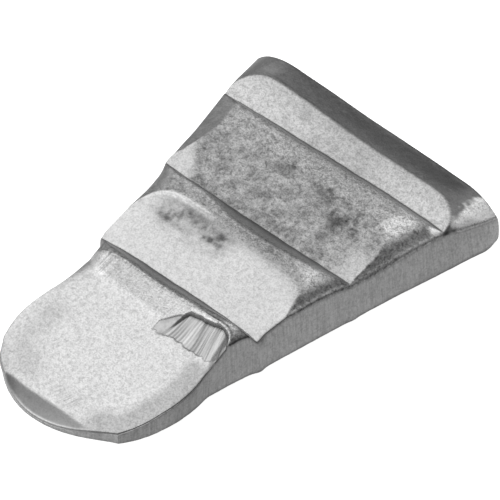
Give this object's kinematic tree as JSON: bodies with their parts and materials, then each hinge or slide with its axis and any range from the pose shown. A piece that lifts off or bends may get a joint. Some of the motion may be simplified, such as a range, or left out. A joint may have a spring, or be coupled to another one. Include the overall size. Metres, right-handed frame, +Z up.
{
  "type": "barbed handle wedge",
  "caption": "Solid steel wedge with a thin round tip and saw-tooth barbs across its top, driven into wood to hold a split or a tool handle tight.",
  "frame": {"origin": "on the flat underside, below the middle of the part's bounding box", "axes": "+Y points from the thin round tip to the struck end, +X to the right when looking that way, +Z up through the barbs"},
  "size_m": [0.0324, 0.0494, 0.006],
  "materials": {
    "forged_steel": "tumbled bare steel, dull grey with bright pressed faces"
  },
  "bodies": {
    "root": {"wedge_body": "forged_steel"}
  },
  "joints": []
}
